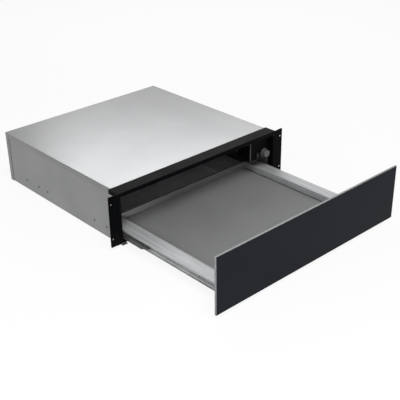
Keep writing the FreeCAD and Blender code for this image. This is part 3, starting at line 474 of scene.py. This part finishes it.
# helpers for the surfaces that take the place of plain blocks
def blockMesh(node):
    low, high = (Vector(point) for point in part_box(node))
    bm = bmesh.new()
    bmesh.ops.create_cube(bm, size=1)
    bmesh.ops.scale(bm, vec=high - low, verts=bm.verts)
    bmesh.ops.translate(bm, vec=(low + high) / 2, verts=bm.verts)
    return bm, low, high


def roundEdges(bm, edges, radius, segments):
    bmesh.ops.bevel(
        bm, geom=edges, offset=radius, segments=segments, profile=0.5, affect="EDGES", material=-1,
    )


# mat: thin moulded rubber with a soft rim, and painted shade as a smooth dark strip at each side, where
# the tray's side walls meet it
matSet = {
    "corner": 0.006,
    "cornerSteps": 6,
    "rim": 0.0009,
    "rimSteps": 3,
    # width of the painted shade at each side
    "shadeBorder": 0.0065,
    "level": 0.99,          # a face that looks this far up or down is a flat one
}


def makeMat(look):
    bm, low, high = blockMesh("non_slip_mat")
    size = high - low
    middle = (low + high) / 2
    upright = [edge for edge in bm.edges if abs(edge.verts[0].co.z - edge.verts[1].co.z) > size.z / 2]
    roundEdges(bm, upright, look["corner"], look["cornerSteps"])
    top = [face for face in bm.faces if face.normal.z > look["level"]]
    rim = [edge for face in top for edge in face.edges]
    roundEdges(bm, rim, look["rim"], look["rimSteps"])
    inside = size.x / 2 - look["shadeBorder"]
    for place in (middle.x - inside, middle.x + inside):
        whole = bm.verts[:] + bm.edges[:] + bm.faces[:]
        bmesh.ops.bisect_plane(bm, geom=whole, plane_co=(place, 0, 0), plane_no=(1, 0, 0))
    # faces beyond the inner part take the dark finish: painted shade along each side
    for face in bm.faces:
        face.smooth = abs(face.normal.z) < look["level"]
        face.material_index = 1 if abs(face.calc_center_median().x - middle.x) > inside else 0
    mat = meshObject(bm, "matSurface", (finishes["matRubber"], finishes["matShadeBorder"]))
    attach(mat, "drawer")
    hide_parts("non_slip_mat")


makeMat(matSet)
print("mat laid")


# pod: moulded box with rounded front corners; the rounding is painted a lighter grey as a painted
# highlight
podSet = {
    "round": 0.0016,
    "steps": 3,
    "corner": 0.007,        # how far the lower left corner's curve reaches
    "touch": 0.0001,
    "seam": 0.00001,        # points this close are one
    "flat": 0.02,           # faces that turn less than this are one
    "slant": 0.12,          # a face that leans more than this, and looks ahead, is part of the rounding
    "ahead": 0.1,
}


def onPodRim(vert, low, look):
    # front outline: up the left side, round the corner and along the bottom
    across, behind, up = vert.co - low
    onSide = across < look["touch"] or up < look["touch"]
    inCorner = across < look["corner"] and up < look["corner"]
    return behind < look["touch"] and (onSide or inCorner)


def makePod(look):
    source = nodes["control_pod"]
    low = Vector(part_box("control_pod")[0])
    bm = bmesh.new()
    bm.from_mesh(source.data)
    bm.transform(source.matrix_world)
    bmesh.ops.remove_doubles(bm, verts=bm.verts, dist=look["seam"])
    bmesh.ops.dissolve_limit(bm, angle_limit=look["flat"], verts=bm.verts, edges=bm.edges)
    rim = [edge for edge in bm.edges if all(onPodRim(vert, low, look) for vert in edge.verts)]
    roundEdges(bm, rim, look["round"], look["steps"])
    for face in bm.faces:
        # the rounding faces get the lighter finish: a painted highlight
        lean = sorted(abs(value) for value in face.normal)[1]
        highlighted = lean > look["slant"] and face.normal.y < -look["ahead"]
        face.material_index = 1 if highlighted else 0
    pod = meshObject(bm, "podSurface", (finishes["podBlack"], finishes["podEdgeHighlight"]))
    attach(pod, "housing")
    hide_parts("control_pod")


makePod(podSet)
print("pod rounded")


# front pane: dark satin face, ground edges that catch the light
paneSet = {
    "round": 0.0008,
    "steps": 3,
    "reach": 0.0005,        # rim points lie this close to the front face
    "flat": 0.9,            # a face that looks this far ahead or back is the flat of the pane
    "side": 0.1,            # and less than this is a plain side
}


def makePane(look):
    bm, low, high = blockMesh("front_glass")
    front = low.y + look["reach"]
    rim = [edge for edge in bm.edges if all(vert.co.y < front for vert in edge.verts)]
    roundEdges(bm, rim, look["round"], look["steps"])
    for face in bm.faces:
        turned = abs(face.normal.y)
        face.material_index = 0 if turned > look["flat"] else 1
        face.smooth = look["side"] < turned < look["flat"]
    pane = meshObject(bm, "paneSurface", (finishes["paneDark"], finishes["groundEdge"]))
    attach(pane, "drawer")
    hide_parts("front_glass")


makePane(paneSet)
print("pane fitted")

print("all pieces made")
